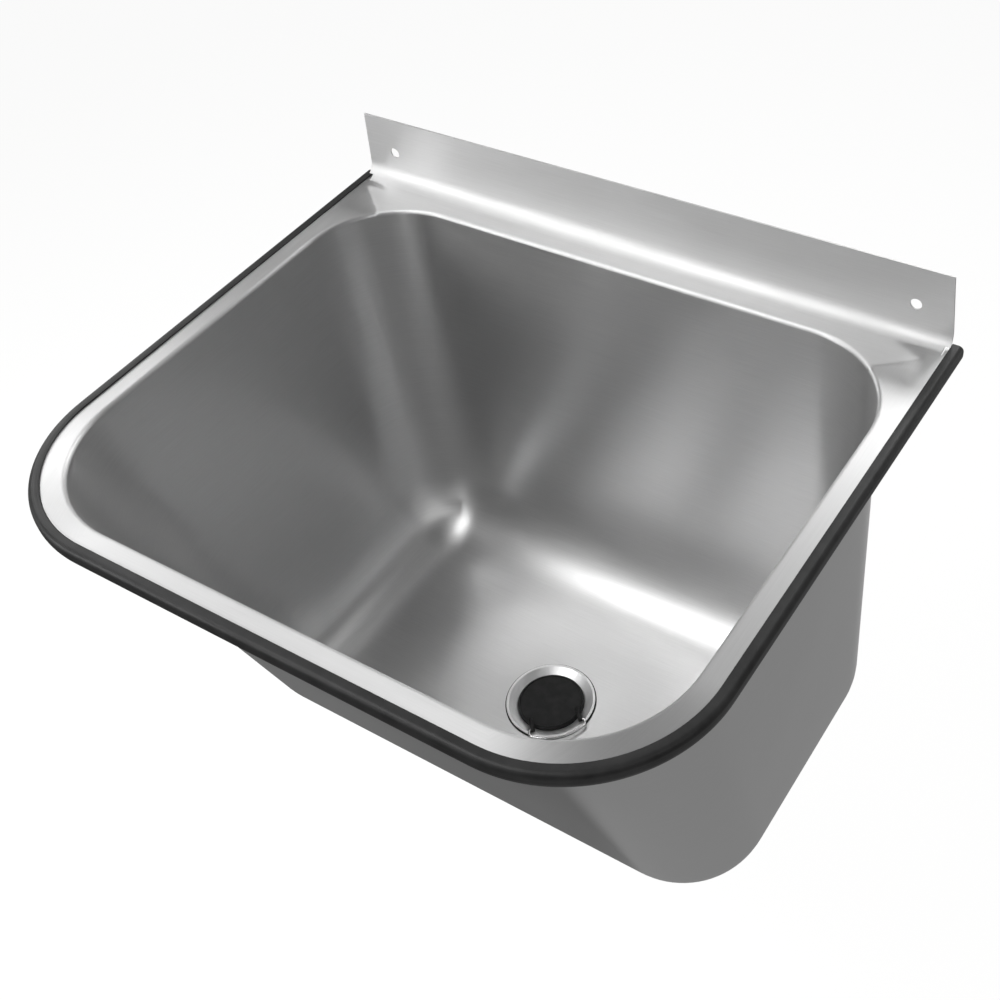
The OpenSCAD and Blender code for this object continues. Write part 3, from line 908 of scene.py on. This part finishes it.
def spinProfile(bm, points, steps):
    # turns a profile round the axis; its points say how far out and how high
    verts = [bm.verts.new((away, 0, z)) for away, z in points]
    edges = [bm.edges.new(pair) for pair in zip(verts, verts[1:])]
    bmesh.ops.spin(
        bm, geom=verts + edges, cent=(0, 0, 0), axis=(0, 0, 1), angle=2 * math.pi, steps=steps,
        use_merge=True)
    bmesh.ops.remove_doubles(bm, verts=bm.verts, dist=0.0005)


def addEar(bm, side):
    # bracket moulded on the plug, with a round knuckle for the bail's pin; its outline is in x and height
    knuckle = arcPoints((bail["hingeReach"], bail["hingeHeight"]), bail["knuckleRadius"], -90, 90, 10)
    outline = bail["earFoot"] + knuckle[1:] + [bail["earTop"]]
    inside = bail["earInside"] * side
    verts = [bm.verts.new((x, inside, z)) for x, z in outline]
    face = bm.faces.new(verts)
    grown = bmesh.ops.extrude_face_region(bm, geom=[face])["geom"]
    moved = [g for g in grown if isinstance(g, bmesh.types.BMVert)]
    bmesh.ops.translate(bm, vec=(0, bail["earThickness"] * side, 0), verts=moved)
    loop = set(verts) | set(moved)
    edges = [e for e in bm.edges if set(e.verts) <= loop and abs(e.verts[0].co.y - e.verts[1].co.y) < near]
    bmesh.ops.bevel(
        bm, geom=edges, offset=bail["earRounding"], offset_type="OFFSET", affect="EDGES", segments=2,
        profile=0.5, material=-1)


def buildPlug():
    # turned from its profile, from the recess under it round to the middle of its top, with two ears
    bm = bmesh.new()
    radius, rounding, top = plug["radius"], plug["edgeRadius"], plug["top"]
    narrow, recessTop = radius - plug["taper"], plug["bottom"] + plug["recessHeight"]
    bead = arcPoints((plug["beadRing"], top), plug["beadRadius"], 180, 20, 10)
    points = [(0, recessTop), (plug["recessRadius"], recessTop), (plug["recessRadius"], plug["bottom"])]
    points += [(narrow - plug["chamfer"], plug["bottom"]), (narrow, plug["bottom"] + plug["chamfer"])]
    points += [(radius, plug["seatDrop"])]
    points += arcPoints((radius - rounding, top - rounding), rounding, 0, 72, 6)
    points += bead[::-1]
    points += [(plug["beadRing"] - plug["beadRadius"] - 1, top)]
    points += [(plug["dishRadius"], top - 0.75 * plug["dish"]), (0, top - plug["dish"])]
    spinProfile(bm, points, plug["steps"])
    for side in (-1, 1):
        addEar(bm, side)
    bmesh.ops.recalc_face_normals(bm, faces=bm.faces)
    setInWaste(bm)
    made = finishPiece(bm, "plugBody", plugRubber, "plug", "plug")
    made.data.set_sharp_from_angle(angle=math.radians(plug["sharpAngle"]))
    return made


def buildBail():
    # one bent wire: pin, short arm and half of the outer run, then the same again mirrored
    bm = bmesh.new()
    reach, out = bail["hingeReach"], bail["earInside"] + bail["earThickness"]
    start = Matrix.Translation((reach, bail["pinStart"], 0)) @ Matrix.Rotation(math.pi / 2, 4, "X")
    verts = bmesh.ops.create_circle(
        bm, segments=bail["sides"], radius=bail["wireRadius"], matrix=start)["verts"]
    edges = list({edge for vert in verts for edge in vert.link_edges})
    cap = list(edges)
    armV = out + bail["pinBend"]
    turn = bail["cornerBend"]
    cornerU = math.sqrt((bail["runRadius"] - turn) ** 2 - (armV - turn) ** 2)
    cornerAngle = math.atan2(armV - turn, cornerU)

    def bend(edges, centre, angle, steps):
        ring = list({vert for edge in edges for vert in edge.verts})
        made = bmesh.ops.spin(
            bm, geom=ring + edges, cent=(*centre, 0), axis=(0, 0, 1), angle=angle, steps=steps,
            use_duplicate=False)
        return [g for g in made["geom_last"] if isinstance(g, bmesh.types.BMEdge)]

    edges = nextLoop(bm, edges, lambda vert: vert.co + Vector((0, out - bail["pinStart"], 0)))
    edges = bend(edges, (reach + bail["pinBend"], out), -math.pi / 2, 8)
    edges = nextLoop(bm, edges, lambda vert: vert.co + Vector((cornerU - reach - bail["pinBend"], 0, 0)))
    edges = bend(edges, (cornerU, armV - turn), cornerAngle - math.pi / 2, 10)
    edges = bend(edges, (0, 0), -cornerAngle, 16)
    bmesh.ops.edgeloop_fill(bm, edges=cap)
    bmesh.ops.mirror(bm, geom=bm.verts[:] + bm.edges[:] + bm.faces[:], axis="Y", merge_dist=near)
    bmesh.ops.remove_doubles(bm, verts=bm.verts, dist=near)
    bmesh.ops.recalc_face_normals(bm, faces=bm.faces)
    bmesh.ops.translate(bm, vec=(0, 0, bail["hingeHeight"]), verts=bm.verts)
    setInWaste(bm)
    made = finishPiece(bm, "bailWire", wireSteel, "bail", "bail_handle")
    made.data.set_sharp_from_angle(angle=math.radians(bail["sharpAngle"]))
    return made


buildPlug()
buildBail()
print("plug and bail made")


# Pieces whose CAD shape stays: only their finish is set

kept = {
    "waste_flange": wasteSteel,
    "waste_screw": wasteSteel,
    "flange_seal": sealRubber,
    "body_seal": sealRubber,
    "waste_body": wastePlastic,
}
for name, material in kept.items():
    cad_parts[name].data.materials[0] = material
print("kept pieces finished")


# Camera at the photograph's angle

view = {
    "place": (0.47995, -0.72290, 0.59316),
    "azimuth": 37.04,
    "elevation": 44.52,
    "roll": -6.72,
    "sensor": 36,
    "lens": 50.53,
    "shift": (-0.0909, -0.0222),
}


def setCamera():
    data = bpy.data.cameras.new("camera")
    data.sensor_width = view["sensor"]
    data.lens = view["lens"]
    data.shift_x, data.shift_y = view["shift"]
    camera = bpy.data.objects.new("camera", data)
    turn = Matrix.Rotation(math.radians(view["azimuth"]), 4, "Z")
    tilt = Matrix.Rotation(math.radians(90 - view["elevation"]), 4, "X")
    roll = Matrix.Rotation(math.radians(view["roll"]), 4, "Z")
    camera.matrix_world = Matrix.Translation(view["place"]) @ turn @ tilt @ roll
    bpy.context.scene.collection.objects.link(camera)
    bpy.context.scene.camera = camera
    bpy.context.scene.view_settings.view_transform = "Standard"


# Studio: white surroundings, a tent of grey cloth that only reflections see, and soft lamps inside it

studio = {
    "centre": (0.0, -0.2, -0.15),
    "floorHeight": -0.88,
    "floorSize": 14.0,
    "floorColour": "#f2f2f1",
    "floorGlow": 0.85,  # share of plain white that the eye sees; the rest takes the shadow
    "surroundings": 0.7,
    "lampDistance": 1.6,
}

# brightness of the tent's parts, where 1 is white, below and above the height of the split
tent = {
    "size": 3.8,
    "bottom": -0.86,
    "split": 0.45,
    "top": 2.1,
    "rightLow": 0.1,
    "rightHigh": 0.04,
    "frontLow": 0.04,
    "frontHigh": 0.04,
    "leftLow": 0.4,
    "leftHigh": 0.04,
    "wallLow": 1.5,
    "wallHigh": 0.4,
    "ceiling": 0.03,
    "rightFloor": 0.35,
    "leftFloor": 0.13,
}

# azimuth and elevation in degrees from the tub, size in metres, brightness where 1 is white
lamps = {
    "key": {"azimuth": -120, "elevation": 57, "size": (0.95, 0.5), "brightness": 7.0},
    "keyHigh": {"azimuth": -130, "elevation": 68, "size": (0.8, 0.4), "brightness": 0.9},
    "frontLow": {"azimuth": -135, "elevation": 21, "size": (0.8, 0.5), "brightness": 6.4},
    "frontRight": {"azimuth": -55, "elevation": 42, "size": (0.6, 0.5), "brightness": 1.4},
    "frontHigh": {"azimuth": -75, "elevation": 57, "size": (0.5, 0.5), "brightness": 0.8},
    "right": {"azimuth": -13, "elevation": 39, "size": (0.7, 0.5), "brightness": 1.3},
    "wallSide": {"azimuth": 88, "elevation": 39, "size": (0.8, 0.5), "brightness": 5.6},
    "wallRight": {"azimuth": 60, "elevation": 55, "size": (0.7, 0.5), "brightness": 1.6},
    "wallHigh": {"azimuth": 120, "elevation": 62, "size": (0.8, 0.5), "brightness": 0.8},
    "leftBack": {"azimuth": 167, "elevation": 30, "size": (0.6, 0.9), "brightness": 3.6},
    "leftHigh": {"azimuth": 178, "elevation": 54, "size": (0.8, 0.6), "brightness": 0.7},
}


def addBackdropRays(tree):
    # 1 for the rays that should see a plain white background
    path = addNode(tree, "LightPath")
    first = addNode(tree, "Math", {
        "operation": "MAXIMUM"
    }, {0: path.outputs["Is Camera Ray"], 1: path.outputs["Is Glossy Ray"]})
    return addNode(tree, "Math", {
        "operation": "MAXIMUM"
    }, {0: first.outputs[0], 1: path.outputs["Is Transmission Ray"]})


def setWorld():
    world = bpy.data.worlds.new("studio")
    bpy.context.scene.world = world
    world.use_nodes = True
    tree = world.node_tree
    tree.nodes.clear()
    seen = addBackdropRays(tree)
    strength = addNode(tree, "MapRange", {
        "From Min": 0.0, "From Max": 1.0, "To Min": studio["surroundings"], "To Max": 1.0
    }, {"Value": seen.outputs[0]})
    light = addNode(tree, "Background", {"Color": (1, 1, 1, 1)}, {"Strength": strength.outputs[0]})
    addNode(tree, "OutputWorld", {}, {"Surface": light.outputs[0]})


def setFloor():
    made, tree = newMaterial("pale_floor")
    seen = addBackdropRays(tree)
    share = addNode(tree, "Math", {"operation": "MULTIPLY", 1: studio["floorGlow"]}, {0: seen.outputs[0]})
    paint = addNode(tree, "BsdfDiffuse", {"Color": srgb(studio["floorColour"])})
    glow = addNode(tree, "Emission", {"Color": (1, 1, 1, 1), "Strength": 1.0})
    mixed = addNode(tree, "MixShader", {}, {0: share.outputs[0], 1: paint.outputs[0], 2: glow.outputs[0]})
    addNode(tree, "OutputMaterial", {}, {"Surface": mixed.outputs[0]})
    bm = bmesh.new()
    bmesh.ops.create_grid(bm, x_segments=1, y_segments=1, size=studio["floorSize"] / 2)
    bmesh.ops.translate(bm, vec=(0, 0, studio["floorHeight"]), verts=bm.verts)
    mesh = bpy.data.meshes.new("floor")
    bm.to_mesh(mesh)
    bm.free()
    floor = bpy.data.objects.new("floor", mesh)
    mesh.materials.append(made)
    bpy.context.scene.collection.objects.link(floor)


def greyCloth(name, brightness):
    made, tree = newMaterial(name)
    glow = addNode(tree, "Emission", {"Color": (1, 1, 1, 1), "Strength": brightness})
    addNode(tree, "OutputMaterial", {}, {"Surface": glow.outputs[0]})
    return made


def setTent():
    # a box round the tub, each side cut in a low and a high part, each part of its own grey
    bm = bmesh.new()
    bmesh.ops.create_cube(bm, size=1)
    height = tent["top"] - tent["bottom"]
    bmesh.ops.scale(bm, vec=(tent["size"], tent["size"], height), verts=bm.verts)
    middle = (studio["centre"][0], studio["centre"][1], tent["bottom"] + height / 2)
    bmesh.ops.translate(bm, vec=middle, verts=bm.verts)
    for spot, across in (((0, 0, tent["split"]), (0, 0, 1)), (studio["centre"], (1, 0, 0))):
        bmesh.ops.bisect_plane(
            bm, geom=bm.verts[:] + bm.edges[:] + bm.faces[:], plane_co=spot, plane_no=across)
    mesh = bpy.data.meshes.new("tent")
    parts = [name for name in tent if name not in ("size", "bottom", "split", "top")]
    for name in parts:
        mesh.materials.append(greyCloth("tent_" + name, tent[name]))
    for face in bm.faces:
        level = "High" if face.calc_center_median().z > tent["split"] else "Low"
        normal = face.normal
        if normal.z > 0.5:
            part = "ceiling"
        elif normal.z < -0.5:
            part = "rightFloor" if face.calc_center_median().x > 0 else "leftFloor"
        elif abs(normal.x) > 0.5:
            part = ("right" if normal.x > 0 else "left") + level
        else:
            part = ("wall" if normal.y > 0 else "front") + level
        face.material_index = parts.index(part)
    bm.to_mesh(mesh)
    bm.free()
    made = bpy.data.objects.new("tent", mesh)
    bpy.context.scene.collection.objects.link(made)
    made.visible_camera = False
    made.visible_diffuse = False
    made.visible_shadow = False


def setLamps():
    centre = Vector(studio["centre"])
    for name, lamp in lamps.items():
        width, height = lamp["size"]
        data = bpy.data.lights.new("lamp_" + name, "AREA")
        data.shape = "RECTANGLE"
        data.size, data.size_y = width, height
        data.energy = lamp["brightness"] * math.pi * width * height
        azimuth, elevation = math.radians(lamp["azimuth"]), math.radians(lamp["elevation"])
        level = math.cos(elevation)
        away = Vector((level * math.cos(azimuth), level * math.sin(azimuth), math.sin(elevation)))
        made = bpy.data.objects.new("lamp_" + name, data)
        made.location = centre + away * studio["lampDistance"]
        made.rotation_euler = away.to_track_quat("Z", "Y").to_euler()
        made.visible_camera = False
        bpy.context.scene.collection.objects.link(made)


setCamera()
setWorld()
setFloor()
setTent()
setLamps()
print("camera and studio set")
